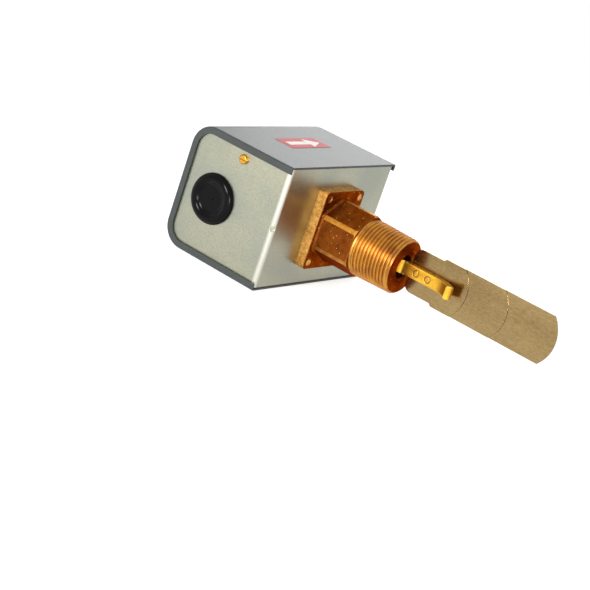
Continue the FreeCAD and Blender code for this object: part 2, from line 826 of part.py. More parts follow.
# ---- frame, lever and range adjustment ---------------------------------------------------
def mechanism_frame():
    """Pressed steel frame: foot plate, two ears for the pivot and an upright for the switch."""
    foot = block(
        frame_left, frame_right, -frame_half_depth, frame_half_depth, floor_z, frame_top,
    )
    window = block(
        frame_window_left, frame_window_right, -ear_inner, ear_inner, floor_z - over, frame_top + over,
    )
    foot = foot.cut(window)
    foot_corners = edges_where(
        foot,
        lambda box: is_upright(box) and abs(box.YMin) > ear_outer,
    )
    foot = foot.makeChamfer(frame_corner_cut, foot_corners)
    sheets = [foot]
    for side in (-1, 1):
        low, high = sorted((side * ear_inner, side * ear_outer))
        ear = block(ear_left, ear_right, low, high, floor_z, ear_top)
        sheets.append(ear)
    upright = block(
        switch_right, frame_right, -upright_half_depth, upright_half_depth,
        floor_z, floor_z + upright_height,
    )
    frame = joined(sheets + [upright])
    pin_hole = pivot_radius + thread_clearance
    frame = frame.cut(rod_along_y(pin_hole, 0, -ear_outer - over, ear_outer + over, pivot_z))
    clear = flange_screw_radius + hole_clearance
    for x, y in flange_screw_places:
        frame = frame.cut(rod(clear, x, y, floor_z - over, frame_top + over))
    ground_hole = ground_radius + thread_clearance
    frame = frame.cut(rod(ground_hole, ground_x, 0, floor_z - over, frame_top + over))
    bridge_hole = bridge_screw_radius + thread_clearance
    frame = frame.cut(rod_along_y(
        bridge_hole, bridge_screw_x, -ear_outer - over, ear_outer + over, ear_top - bridge_screw_drop,
    ))
    switch_hole = switch_screw_radius + hole_clearance
    for y in (-switch_screw_y, switch_screw_y):
        frame = frame.cut(rod_along_x(
            switch_hole, switch_right - over, frame_right + over, y, switch_screw_z,
        ))
    return frame


def range_bridge():
    """Saddle across the ears that carries the range screw and the cover post."""
    outer = block(
        ear_left, ear_right, -bridge_outer, bridge_outer, ear_top - bridge_drop, bridge_top,
    )
    inner = block(
        ear_left - over, ear_right + over, -ear_outer, ear_outer, ear_top - bridge_drop - over, ear_top,
    )
    saddle = outer.cut(inner)
    ridges = edges_where(
        saddle,
        lambda box: box.ZMin > bridge_top - touch and box.XLength > touch,
    )
    saddle = saddle.makeFillet(frame_sheet, ridges)
    saddle = saddle.cut(rod(
        range_radius + running_clearance, range_x, 0, ear_top - over, bridge_top + over,
    ))
    hole = bridge_screw_radius + hole_clearance
    return saddle.cut(rod_along_y(
        hole, bridge_screw_x, -bridge_outer - over, bridge_outer + over, ear_top - bridge_screw_drop,
    ))


def bridge_screws():
    """One screw on each side holds the saddle to the ears."""
    shank = bridge_outer - ear_inner - bridge_screw_tip_gap
    one = screw(bridge_screw_radius, bridge_screw_head, bridge_screw_head_height, shank)
    z = ear_top - bridge_screw_drop
    return group([
        placed(one, bridge_screw_x, side * bridge_outer, z, Vector(0, side, 0))
        for side in (-1, 1)
    ])


def main_lever():
    """Steel lever on the hub: the spring presses on it and its tip lifts the plunger."""
    points = [
        Vector(lever_left, -lever_root_half, hub_top),
        Vector(lever_taper_start, -lever_root_half, hub_top),
        Vector(lever_right, -lever_tip_half, hub_top),
        Vector(lever_right, lever_tip_half, hub_top),
        Vector(lever_taper_start, lever_root_half, hub_top),
        Vector(lever_left, lever_root_half, hub_top),
    ]
    plate = face_of(points).extrude(Vector(0, 0, lever_sheet))
    tip = edges_where(plate, lambda box: is_upright(box) and box.XMin > lever_right - touch)
    plate = plate.makeFillet(lever_tip_corner, tip)
    for y in (-lever_screw_y, lever_screw_y):
        clear = lever_screw_radius + hole_clearance
        plate = plate.cut(rod(clear, 0, y, hub_top - over, lever_top + over))
    return plate


def lever_screws():
    shank = lever_sheet + lever_screw_depth
    one = screw(lever_screw_radius, lever_screw_head, lever_screw_head_height, shank)
    return group([placed(one, 0, y, lever_top) for y in (-lever_screw_y, lever_screw_y)])


def range_screw():
    """Slotted adjusting screw that turns in the bridge and never rises."""
    head = rod(range_head_radius, 0, 0, 0, range_head_height)
    slot = block(
        -range_head_radius - over, range_head_radius + over,
        -range_slot_width / 2, range_slot_width / 2,
        range_head_height - range_slot_depth, range_head_height + over,
    )
    shank = rod(range_radius, 0, 0, -range_reach, weld)
    return placed(joined([head.cut(slot), shank]), range_x, 0, bridge_top)


def range_clip():
    """Ring under the bridge that keeps the range screw from rising."""
    high = ear_top - side_play
    ring = rod(range_clip_radius, range_x, 0, high - range_clip_height, high)
    bore = range_radius + thread_clearance
    return ring.cut(rod(bore, range_x, 0, high - range_clip_height - over, high + over))


def range_nut():
    """Rectangular nut that the ears keep from turning, on top of the spring."""
    nut = block(
        range_x - range_nut_half_length, range_x + range_nut_half_length,
        -hub_half_depth, hub_half_depth, nut_bottom, nut_top,
    )
    bore = range_radius + running_clearance
    return nut.cut(rod(bore, range_x, 0, nut_bottom - over, nut_top + over))


def range_spring():
    """Open coil spring between the lever and the nut, lofted through sections of its wire."""
    half_wire = spring_wire / 2
    low = lever_top + half_wire + thread_clearance
    rise = nut_bottom - half_wire - thread_clearance - low
    tilt = math.atan(rise / (spring_coils * 2 * math.pi * spring_mean_radius))
    steps = round(spring_coils * spring_steps_per_coil)
    sections = []
    for step in range(steps + 1):
        turn = 2 * math.pi * step / spring_steps_per_coil
        outward = Vector(math.cos(turn), math.sin(turn), 0)
        across = Vector(
            math.sin(turn) * math.sin(tilt), -math.cos(turn) * math.sin(tilt), math.cos(tilt),
        )
        centre = Vector(range_x, 0, low + rise * step / steps) + outward * spring_mean_radius
        ring = [
            centre + outward * (half_wire * math.cos(angle)) + across * (half_wire * math.sin(angle))
            for angle in (2 * math.pi * side / spring_wire_sides for side in range(spring_wire_sides))
        ]
        sections.append(Part.makePolygon(ring + [ring[0]]))
    return Part.makeLoft(sections, True, True)


def ground_screw():
    """Green hexagonal screw with a washer face, for the earth wire inside the box."""
    washer = rod(ground_washer_radius, 0, 0, 0, ground_washer_height)
    head = hexagon(ground_head_flats, ground_head_height, z=ground_washer_height)
    shank = rod(ground_radius, 0, 0, -frame_sheet, weld)
    return placed(joined([washer, head, shank]), ground_x, 0, frame_top)


# ---- snap switch -------------------------------------------------------------------------
def switch_case():
    """Moulded switch body with barriers between the three terminals."""
    case = block(
        switch_left, switch_right, -switch_half_depth, switch_half_depth,
        switch_bottom, switch_top,
    )
    case = case.makeFillet(switch_edge, edges_where(case, is_upright))
    walls = [-terminal_row_half] + [y + terminal_pitch / 2 for y in terminal_places]
    barriers = [
        block(
            switch_left + switch_edge, switch_right - switch_edge,
            middle - barrier_thickness / 2, middle + barrier_thickness / 2,
            switch_top - weld, switch_top + barrier_height,
        )
        for middle in walls
    ]
    case = joined([case] + barriers)
    plunger_top = plunger_bottom + plunger_length + plunger_room
    case = case.cut(rod(
        plunger_radius + side_play, plunger_x, 0, switch_bottom - over, plunger_top,
    ))
    for y in terminal_places:
        tapped = terminal_screw_radius + thread_clearance
        case = case.cut(rod(
            tapped, terminal_x, y, switch_top - terminal_screw_depth, switch_top + over,
        ))
    for y in (-switch_screw_y, switch_screw_y):
        tapped = switch_screw_radius + thread_clearance
        case = case.cut(rod_along_x(
            tapped, switch_right - switch_screw_length, switch_right + over, y, switch_screw_z,
        ))
    return case


def switch_plunger():
    """Push pin of the switch, just above the lever's tip."""
    top = plunger_bottom + plunger_length
    pin = rod(plunger_radius, plunger_x, 0, plunger_bottom, top)
    tip = edges_where(pin, lambda box: box.ZMax < plunger_bottom + touch)
    return pin.makeFillet(plunger_tip_round, tip)


def terminal_plates():
    """Three brass plates under the wire screws."""
    plates = []
    for y in terminal_places:
        plate = block(
            terminal_x - terminal_length / 2, terminal_x + terminal_length / 2,
            y - terminal_half_width, y + terminal_half_width,
            switch_top, switch_top + terminal_sheet,
        )
        hole = terminal_screw_radius + hole_clearance
        plates.append(plate.cut(rod(
            hole, terminal_x, y, switch_top - over, switch_top + terminal_sheet + over,
        )))
    return group(plates)


def terminal_screws():
    shank = terminal_sheet + terminal_screw_depth - screw_end_room
    one = screw(terminal_screw_radius, terminal_screw_head, terminal_screw_head_height, shank)
    return group([placed(one, terminal_x, y, switch_top + terminal_sheet) for y in terminal_places])


def switch_screws():
    """Two screws through the upright into the switch."""
    shank = frame_sheet + switch_screw_length - screw_end_room
    one = screw(switch_screw_radius, switch_screw_head, switch_screw_head_height, shank)
    return group([
        placed(one, frame_right, y, switch_screw_z, Vector(1, 0, 0))
        for y in (-switch_screw_y, switch_screw_y)
    ])


# ---- every piece of the switch -----------------------------------------------------------
def main():
    os.makedirs("parts", exist_ok=True)
    builders = [
        pipe_body, bellows, seal_ring, flange_screws,
        base_bracket, cover, flow_label, cover_screw, cover_post,
        conduit_plug, earth_screw, earth_nut,
        paddle_arm, paddle_washers, paddle_screws, pivot_pin, pivot_ring,
        mechanism_frame, range_bridge, bridge_screws, main_lever, lever_screws,
        range_screw, range_clip, range_nut, range_spring, ground_screw,
        switch_case, switch_plunger, terminal_plates, terminal_screws, switch_screws,
    ]
    for builder in builders:
        save(builder.__name__, builder())
    front_x = bar_back
    for name, length in paddle_lengths.items():
        save("paddle_" + name, paddle(length, front_x))
        front_x += paddle_thickness


main()
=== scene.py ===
import math

import bmesh
import bpy
from mathutils import Matrix, Vector


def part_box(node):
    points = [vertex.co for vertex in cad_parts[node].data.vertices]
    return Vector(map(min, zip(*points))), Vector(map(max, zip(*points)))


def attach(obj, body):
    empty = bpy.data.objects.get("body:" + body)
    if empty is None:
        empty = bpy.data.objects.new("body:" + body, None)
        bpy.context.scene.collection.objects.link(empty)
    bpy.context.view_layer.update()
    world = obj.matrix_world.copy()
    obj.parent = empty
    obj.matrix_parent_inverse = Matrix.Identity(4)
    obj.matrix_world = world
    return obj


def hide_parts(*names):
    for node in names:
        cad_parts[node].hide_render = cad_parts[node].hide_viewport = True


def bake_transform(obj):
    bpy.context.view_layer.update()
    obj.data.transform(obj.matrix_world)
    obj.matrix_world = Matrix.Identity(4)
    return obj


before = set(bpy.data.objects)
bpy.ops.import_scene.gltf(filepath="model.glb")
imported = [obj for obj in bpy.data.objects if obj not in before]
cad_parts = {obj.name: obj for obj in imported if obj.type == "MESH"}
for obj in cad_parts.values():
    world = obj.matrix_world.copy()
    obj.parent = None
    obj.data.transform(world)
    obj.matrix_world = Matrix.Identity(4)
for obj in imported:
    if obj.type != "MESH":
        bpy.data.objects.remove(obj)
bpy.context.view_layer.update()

bl_info = {
    "name": "Paddle Flow Switch",
    "version": (1, 0, 0),
    "blender": (4, 5, 0),
    "location": "3D Viewport > Sidebar > Flow Switch",
    "description": "Dresses a paddle flow switch: thread, label, spring, finishes and studio",
    "category": "Object",
}

MM = 0.001


# ---- settings ----------------------------------------------------------------------------
class FlowSwitchSizes(bpy.types.PropertyGroup):
    """Sizes of the pieces that this add-on models itself."""

    thread_pitch: bpy.props.FloatProperty(
        name="Thread pitch", description="Distance from one crest to the next",
        default=2.21 * MM, subtype="DISTANCE", unit="LENGTH", precision=5,
    )
    thread_depth: bpy.props.FloatProperty(
        name="Thread depth", description="Height of a crest above its root",
        default=1.25 * MM, subtype="DISTANCE", unit="LENGTH", precision=5,
    )
    thread_top_radius: bpy.props.FloatProperty(
        name="Thread radius at the hexagon", description="Crest radius at the wide end",
        default=17.0 * MM, subtype="DISTANCE", unit="LENGTH", precision=5,
    )
    thread_end_radius: bpy.props.FloatProperty(
        name="Thread radius at the end", description="Crest radius at the narrow end",
        default=16.25 * MM, subtype="DISTANCE", unit="LENGTH", precision=5,
    )
    spring_wire: bpy.props.FloatProperty(
        name="Spring wire", description="Diameter of the range spring's wire",
        default=0.9 * MM, subtype="DISTANCE", unit="LENGTH", precision=5,
    )
    spring_turns: bpy.props.FloatProperty(
        name="Spring turns", description="Number of turns in the range spring", default=7.0,
    )


class FlowSwitchColours(bpy.types.PropertyGroup):
    """Colours a user would change."""

    cover_paint: bpy.props.StringProperty(
        name="Cover paint", description="Colour of the cover as sRGB hex", default="3E4241",
    )
    zinc: bpy.props.StringProperty(
        name="Zinc plating", description="Colour of the base as sRGB hex", default="ABAA96",
    )
    brass_body: bpy.props.StringProperty(
        name="Forged brass", description="Colour of the pipe body as sRGB hex",
        default="94501C",
    )
    brass_bar: bpy.props.StringProperty(
        name="Bright brass", description="Colour of the arm as sRGB hex", default="E6B640",
    )
    paddle_bronze: bpy.props.StringProperty(
        name="Paddle bronze", description="Colour of the paddles as sRGB hex",
        default="9C865C",
    )
    label_red: bpy.props.StringProperty(
        name="Label red", description="Colour of the label as sRGB hex", default="C8323A",
    )


# ---- helpers -----------------------------------------------------------------------------
def linear(code):
    """The linear RGBA of an sRGB hex colour."""
    channels = [int(code[i:i + 2], 16) / 255 for i in (0, 2, 4)]
    curve = [c / 12.92 if c <= 0.04045 else ((c + 0.055) / 1.055) ** 2.4 for c in channels]
    return (*curve, 1.0)


def per_metre(size_mm):
    """Texture scale whose pattern repeats about every size_mm."""
    return 1.0 / (size_mm * MM)


def add_node(tree, kind, values=None, links=None, **settings):
    """Adds a node, sets it up, fills its sockets and links its inputs."""
    node = tree.nodes.new(kind)
    for name, value in settings.items():
        setattr(node, name, value)
    for socket, value in (values or {}).items():
        node.inputs[socket].default_value = value
    for socket, source in (links or {}).items():
        tree.links.new(source, node.inputs[socket])
    return node


# The Mix node keeps its colour sockets under these numbers.
COLOUR_A, COLOUR_B, COLOUR_OUT = 6, 7, 2

# Two noises averaged stay mostly in TONE_BAND, and one alone in GRAIN_BAND.
TONE_BAND = {"From Min": 0.36, "From Max": 0.64}
GRAIN_BAND = {"From Min": 0.3, "From Max": 0.7}

# Cosine between the softened and the true normal where the paler edge of wear and painted
# highlight starts, and where it is full.
EDGE_BAND = {"From Min": 0.985, "From Max": 0.85}

# Share of open sky where the painted shade and grime start, and where they are full.
SKY_BAND = {"From Min": 0.85, "From Max": 0.25}


def surface(name, light, dark, metallic, roughness, patches, grain, depth,
            stretch=(1, 1, 1), edge=0.2, worn=None, wear=0.0, tint=0.0):
    """A real surface: two tones in patches and grain, a fine relief and softened edges.

    light and dark are sRGB hex colours, roughness is a (smooth, rough) pair, and patches,
    grain, depth and edge are millimetres.  worn is the paler colour on
    edges, which stands for wear and, on some finishes, a painted highlight, and
    wear is its share.  tint is the share of faint colour that the grain carries.
    """
    material = bpy.data.materials.new(name)
    material.use_nodes = True
    tree = material.node_tree
    shader = tree.nodes["Principled BSDF"]
    shader.inputs["Metallic"].default_value = metallic
    place = add_node(tree, "ShaderNodeTexCoord").outputs["Object"]
    mapped = add_node(
        tree, "ShaderNodeMapping", {"Scale": stretch}, {"Vector": place},
    ).outputs["Vector"]
    large = add_node(
        tree, "ShaderNodeTexNoise",
        {"Scale": per_metre(patches), "Detail": 4, "Roughness": 0.6}, {"Vector": mapped},
    )
    fine = add_node(
        tree, "ShaderNodeTexNoise",
        {"Scale": per_metre(grain), "Detail": 5, "Roughness": 0.7}, {"Vector": mapped},
    )
    tone = add_node(
        tree, "ShaderNodeMix", {"Factor": 0.5},
        {"A": large.outputs["Fac"], "B": fine.outputs["Fac"]},
    )
    spread = add_node(
        tree, "ShaderNodeMapRange", TONE_BAND, {"Value": tone.outputs["Result"]},
    )
    colour = add_node(
        tree, "ShaderNodeMix", {COLOUR_A: linear(dark), COLOUR_B: linear(light)},
        {"Factor": spread.outputs["Result"]}, data_type="RGBA",
    )
    colour = add_node(
        tree, "ShaderNodeMix", {"Factor": tint},
        {COLOUR_A: colour.outputs[COLOUR_OUT], COLOUR_B: fine.outputs["Color"]},
        data_type="RGBA", blend_type="SOFT_LIGHT",
    )
    soft = add_node(tree, "ShaderNodeBevel", {"Radius": edge * MM}, samples=4)
    flat = add_node(tree, "ShaderNodeNewGeometry")
    turn = add_node(
        tree, "ShaderNodeVectorMath", links={0: soft.outputs["Normal"], 1: flat.outputs["Normal"]},
        operation="DOT_PRODUCT",
    )
    # Edges are lightened for wear, and on some finishes also with a painted highlight.
    rubbed = add_node(
        tree, "ShaderNodeMapRange", {**EDGE_BAND, "To Max": wear},
        {"Value": turn.outputs["Value"]},
    )
    colour = add_node(
        tree, "ShaderNodeMix", {COLOUR_B: linear(worn or light)},
        {"Factor": rubbed.outputs["Result"], COLOUR_A: colour.outputs[COLOUR_OUT]},
        data_type="RGBA",
    )
    tree.links.new(colour.outputs[COLOUR_OUT], shader.inputs["Base Color"])
    rough = add_node(
        tree, "ShaderNodeMapRange",
        {**GRAIN_BAND, "To Min": roughness[0], "To Max": roughness[1]},
        {"Value": fine.outputs["Fac"]},
    )
    tree.links.new(rough.outputs["Result"], shader.inputs["Roughness"])
    relief = add_node(
        tree, "ShaderNodeBump", {"Strength": 1.0, "Distance": depth * MM},
        {"Height": fine.outputs["Fac"], "Normal": soft.outputs["Normal"]},
    )
    tree.links.new(relief.outputs["Normal"], shader.inputs["Normal"])
    return material


def with_grime(material, code, reach, share):
    """Darkens recesses about reach millimetres deep with painted shade, which stands also for dull
    oxide and old oil there.
    """
    tree = material.node_tree
    target = tree.nodes["Principled BSDF"].inputs["Base Color"]
    clean = target.links[0].from_socket
    open_sky = add_node(
        tree, "ShaderNodeAmbientOcclusion", {"Distance": reach * MM}, samples=6,
    )
    depth = add_node(
        tree, "ShaderNodeMapRange", {**SKY_BAND, "To Max": share},
        {"Value": open_sky.outputs["AO"]},
    )
    # The darker colour in recesses is painted shade, with some oxide and oil.
    mixed = add_node(
        tree, "ShaderNodeMix", {COLOUR_B: linear(code)},
        {"Factor": depth.outputs["Result"], COLOUR_A: clean}, data_type="RGBA",
    )
    tree.links.new(mixed.outputs[COLOUR_OUT], target)
    return material


def finish_nodes(material, *names):
    """Gives CAD nodes one material."""
    for name in names:
        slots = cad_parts[name].data.materials
        slots.clear()
        slots.append(material)


def mesh_piece(name, mesh, materials, body=None):
    """A new object from a mesh with its materials, riding on a body where one is named."""
    for material in materials:
        mesh.materials.append(material)
    piece = bpy.data.objects.new(name, mesh)
    bpy.context.scene.collection.objects.link(piece)
    if body:
        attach(piece, body)
    return piece


# ---- finishes of the pipe body and the arm -----------------------------------------------
def forged_brass(code):
    """Hot-forged brass, pickled and left as struck.

    The skin looks reddish brown and orange-peeled, darker in the corners with painted shade
    and oxide, paler on the edges with a painted highlight and wear, and dotted with painted
    glints as bright specks.  Its real grain of about 0.3 mm is drawn at 0.8 mm, so that it
    shows.
    """
    # Its pale edges in D89A48 are a painted highlight with some wear.
    material = surface(
        "hot forged brass", code, "5A2808", metallic=1.0, roughness=(0.34, 0.5),
        patches=5.0, grain=0.8, depth=0.14, edge=0.6, worn="D89A48", wear=0.4,
    )
    tree = material.node_tree
    shader = tree.nodes["Principled BSDF"]
    shader.inputs["Specular Tint"].default_value = linear("B88858")
    # Sparse crystal faces in the skin glint, and the glints are painted as pale specks.  The
    # faces are tenths of a millimetre wide and the specks about half a millimetre, so that they
    # show.
    speck_spacing = 2.4
    speck_shares = {"From Min": 0.13, "From Max": 0.07}     # in cell widths
    place = add_node(tree, "ShaderNodeTexCoord").outputs["Object"]
    cells = add_node(
        tree, "ShaderNodeTexVoronoi", {"Scale": per_metre(speck_spacing)}, {"Vector": place},
    )
    speck = add_node(
        tree, "ShaderNodeMapRange", speck_shares, {"Value": cells.outputs["Distance"]},
    )
    target = shader.inputs["Base Color"]
    plain = target.links[0].from_socket
    mixed = add_node(
        tree, "ShaderNodeMix", {COLOUR_B: linear("F0C878")},
        {"Factor": speck.outputs["Result"], COLOUR_A: plain}, data_type="RGBA",
    )
    tree.links.new(mixed.outputs[COLOUR_OUT], target)
    # Recesses get painted shade, with some oxide.
    return with_grime(material, "3C1604", 1.6, 0.6)


def trimmed_brass():
    """Brass where the press sheared off the forging's flash.

    The torn band looks paler than the skin, pitted and sparkling.
    """
    return surface(
        "sheared brass", "ECB866", "94561C", metallic=1.0, roughness=(0.38, 0.6),
        patches=2.2, grain=0.9, depth=0.35, edge=0.8, worn="FFDC9A", wear=0.5,
    )


def rubbed_brass():
    """Brass on the rounded edges of a forging, paler as a painted highlight and rubbed by handling
    and tumbling.

    It gives the edges a soft golden line of painted highlight between the darker flats.
    """
    return surface(
        "rubbed brass with painted highlight", "CC923E", "8E5418", metallic=1.0, roughness=(0.38, 0.52),
        patches=3.0, grain=0.8, depth=0.12, edge=1.0,
    )


def turned_brass():
    """Brass cut on a lathe, with cutting oil left on it and in the thread's roots.

    The crests look bright and golden with a painted highlight, over roots darkened with
    painted shade and the oil in them.  The oil film adds a paler, broader shine.  The tool's
    real feed marks of about 0.1 mm are drawn as a grain of 0.7 mm.
    """
    material = surface(
        "turned brass", "D69A30", "965810", metallic=1.0, roughness=(0.3, 0.4),
        patches=6.0, grain=0.7, depth=0.04, edge=0.1, worn="FFE48C", wear=0.6,
    )
    shader = material.node_tree.nodes["Principled BSDF"]
    shader.inputs["Specular Tint"].default_value = linear("C89448")
    shader.inputs["Coat Weight"].default_value = 0.6
    shader.inputs["Coat Roughness"].default_value = 0.28
    # The roots get painted shade, with oil left in them.
    return with_grime(material, "5E3206", 0.9, 0.55)


def drawn_brass(code):
    """Brass bar drawn through a die.

    It looks clear yellow and satin, with faint lines along it and pale edges.  The die's
    real lines of about 0.05 mm are drawn 0.5 mm apart, so that they show.
    """
    return surface(
        "drawn brass", code, "BA8422", metallic=1.0, roughness=(0.3, 0.4),
        patches=8.0, grain=0.5, depth=0.03, stretch=(1, 1, 0.25),
        edge=0.4, worn="FFE49A", wear=0.6,
    )


def rolled_bronze(code):
    """Phosphor bronze sheet, cold rolled thin.

    It looks olive-brown and satin, with short streaks the way it was rolled, handling
    stains and bright cut edges, which are partly a painted highlight.  The rolls' real marks
    of about 0.1 mm are drawn at 0.8 mm.
    """
    return surface(
        "rolled bronze", code, "7A6440", metallic=1.0, roughness=(0.16, 0.24),
        patches=22.0, grain=0.8, depth=0.008, stretch=(1, 1, 0.4),
        edge=0.1, worn="F0E8CC", wear=0.8, tint=0.1,
    )


# ---- finishes of the enclosure -----------------------------------------------------------
def zinc_plate(code, fold):
    """Zinc electroplated on sheet steel and passivated.

    It looks satin, slightly yellow and finely speckled, with cool clouds and a white line of
    painted highlight along each fold.  The real crystals of about 0.1 mm are drawn at 0.6 mm,
    so that they show.  fold is the x + z of the lower folds' outer corner.
    """
    material = surface(
        "zinc plated steel", code, "949382", metallic=1.0, roughness=(0.26, 0.42),
        patches=1.1, grain=0.6, depth=0.04, edge=0.6, worn="E4E2D2", wear=0.5, tint=0.4,
    )
    tree = material.node_tree
    # A painted highlight lies as a white band over the few millimetres next to each fold.
    rubbed_from, rubbed_full = 3.0 * MM, 0.8 * MM
    place = add_node(tree, "ShaderNodeTexCoord").outputs["Object"]
    split = add_node(tree, "ShaderNodeSeparateXYZ", links={"Vector": place})
    outward = add_node(
        tree, "ShaderNodeMath", links={0: split.outputs["X"]}, operation="ABSOLUTE",
    )
    inward = add_node(
        tree, "ShaderNodeMath",
        links={0: split.outputs["Z"], 1: outward.outputs["Value"]}, operation="SUBTRACT",
    )
    rubbed = add_node(
        tree, "ShaderNodeMapRange",
        {"From Min": fold + rubbed_from, "From Max": fold + rubbed_full, "To Max": 0.6},
        {"Value": inward.outputs["Value"]},
    )
    # The clear passivate dries in clouds, which look cool and darker where it is thick.
    # W picks one layout of them.
    cloud_size = 34.0
    cloud = add_node(
        tree, "ShaderNodeTexNoise", {"Scale": per_metre(cloud_size), "W": 1.0, "Detail": 2},
        {"Vector": place}, noise_dimensions="4D",
    )
    thick = add_node(
        tree, "ShaderNodeMapRange", {"From Min": 0.4, "From Max": 0.64, "To Max": 0.5},
        {"Value": cloud.outputs["Fac"]},
    )
    target = tree.nodes["Principled BSDF"].inputs["Base Color"]
    plain = target.links[0].from_socket
    clouded = add_node(
        tree, "ShaderNodeMix", {COLOUR_B: linear("848C86")},
        {"Factor": thick.outputs["Result"], COLOUR_A: plain}, data_type="RGBA",
    )
    mixed = add_node(
        tree, "ShaderNodeMix", {COLOUR_B: linear("F6F4EA")},
        {"Factor": rubbed.outputs["Result"], COLOUR_A: clouded.outputs[COLOUR_OUT]},
        data_type="RGBA",
    )
    tree.links.new(mixed.outputs[COLOUR_OUT], target)
    return material


def stoved_enamel(code):
    """Enamel sprayed on sheet steel and stoved.

    It looks an even semi-gloss grey, with a faint orange peel and edges a shade paler.
    """
    material = surface(
        "stoved enamel", code, "353938", metallic=0.0, roughness=(0.42, 0.5),
        patches=16.0, grain=1.4, depth=0.02, edge=0.3, worn="606463", wear=0.3,
    )
    shader = material.node_tree.nodes["Principled BSDF"]
    shader.inputs["Specular IOR Level"].default_value = 0.35
    return material


def black_nylon():
    """Nylon injection-moulded in a polished tool.

    It looks deep black, with small sharp highlights on its rim.
    """
    material = surface(
        "black nylon", "060606", "040404", metallic=0.0, roughness=(0.14, 0.2),
        patches=10.0, grain=1.2, depth=0.01, edge=0.2,
    )
    shader = material.node_tree.nodes["Principled BSDF"]
    shader.inputs["Specular IOR Level"].default_value = 0.1
    return material


def plated_steel(name, light="C4C3BC", dark="A09F98", roughness=(0.24, 0.36)):
    """Steel of screws, pins and pressed sheet, tumbled, then plated.

    It looks bright and faintly mottled, with paler edges.  The real skin's grain is under
    0.1 mm and is drawn at 0.6 mm, so that it shows.
    """
    return surface(
        name, light, dark, metallic=1.0, roughness=roughness,
        patches=4.0, grain=0.6, depth=0.02, edge=0.15, worn="EDECE6", wear=0.5,
    )


def brass_fitting(name, light="D8A648", dark="B07A26"):
    """Free-cutting brass of small fittings, machined from bar.

    It looks smooth, yellow and lustrous, with pale edges.  The real tool marks are under
    0.1 mm and are drawn as a grain of 0.5 mm.
    """
    return surface(
        name, light, dark, metallic=1.0, roughness=(0.2, 0.32),
        patches=3.0, grain=0.5, depth=0.02, edge=0.15, worn="FFE8B0", wear=0.5,
    )


def moulded_plastic(name, light, dark, roughness, depth=0.02):
    """Plastic or rubber moulded in a tool.

    It looks even in colour, with a soft sheen and the tool's fine matt grain, which is
    under 0.1 mm and is drawn at 0.5 mm.
    """
    material = surface(
        name, light, dark, metallic=0.0, roughness=roughness,
        patches=6.0, grain=0.5, depth=depth, edge=0.2,
    )
    shader = material.node_tree.nodes["Principled BSDF"]
    shader.inputs["Specular IOR Level"].default_value = 0.3
    return material


def printed_film(name, light, dark):
    """Vinyl film, screen printed: a flat, even colour with hardly any sheen."""
    return moulded_plastic(name, light, dark, (0.5, 0.6), 0.005)


# ---- threaded pipe body ------------------------------------------------------------------
CHAMFER_RADIUS = 15.2 * MM      # outer radius of the thread's flat end face
CHAMFER_SLOPE = 0.9             # growth of that radius with height
LEAD_IN = 0.5 * MM              # height over which the thread grows out of the end face
SHANK_RADIUS = 16.6 * MM        # the plain shank under the threads
THREAD_TOP = 0.0                # the hexagon's lower face, at the frame's origin
ROOT_SHARPNESS = 1.3            # above 1 the roots are narrower than the crests
AROUND = 144                    # points round the thread
ROWS_PER_PITCH = 12
THREAD, TRIMMED, ROUNDED = 1, 2, 3   # material slots; 0 is the forged skin


def thread_radius(sizes, z, turn, end):
    """Radius of the threaded shank at a height and an angle given in turns."""
    along = (z - THREAD_TOP) / (end - THREAD_TOP)
    crest = sizes.thread_top_radius + along * (sizes.thread_end_radius - sizes.thread_top_radius)
    phase = (z / sizes.thread_pitch - turn) % 1.0
    fall = 0.5 + 0.5 * math.cos(2 * math.pi * phase)
    radius = crest - sizes.thread_depth * fall ** ROOT_SHARPNESS
    run_out = min(max((THREAD_TOP - z) / sizes.thread_pitch, 0.0), 1.0)
    radius = SHANK_RADIUS + (radius - SHANK_RADIUS) * run_out
    lead_in = min(max((z - end) / LEAD_IN, 0.0), 1.0)
    chamfer = CHAMFER_RADIUS + (z - end) * CHAMFER_SLOPE
    return CHAMFER_RADIUS + (min(radius, chamfer) - CHAMFER_RADIUS) * lead_in


def threaded_body_mesh(sizes):
    """The CAD body's mesh with the plain shank taken out and a cut thread put in."""
    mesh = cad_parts["pipe_body"].data.copy()
    mesh.materials.clear()
    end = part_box("pipe_body")[0].z
    work = bmesh.new()
    work.from_mesh(mesh)
    tolerance = 0.02 * MM
    end_face = -0.9         # the flat end's normals point further down than this
    plain = [
        face for face in work.faces
        if face.normal.z > end_face
        and all(v.co.z < THREAD_TOP + tolerance
                and math.hypot(v.co.x, v.co.y) > CHAMFER_RADIUS - tolerance
                for v in face.verts)
    ]
    bmesh.ops.delete(work, geom=plain, context="FACES")
    rows = math.ceil((THREAD_TOP - end) / sizes.thread_pitch * ROWS_PER_PITCH)
    grid = []
    for row in range(rows + 1):
        z = end + (THREAD_TOP - end) * row / rows
        ring = []
        for step in range(AROUND):
            turn = step / AROUND
            radius = thread_radius(sizes, z, turn, end)
            angle = 2 * math.pi * turn
            ring.append(work.verts.new((radius * math.cos(angle), radius * math.sin(angle), z)))
        grid.append(ring)
    for lower, upper in zip(grid, grid[1:]):
        for step in range(AROUND):
            after = (step + 1) % AROUND
            face = work.faces.new((lower[step], lower[after], upper[after], upper[step]))
            face.material_index = THREAD
            face.smooth = True
    mark_regions(work)
    work.to_mesh(mesh)
    work.free()
    return mesh


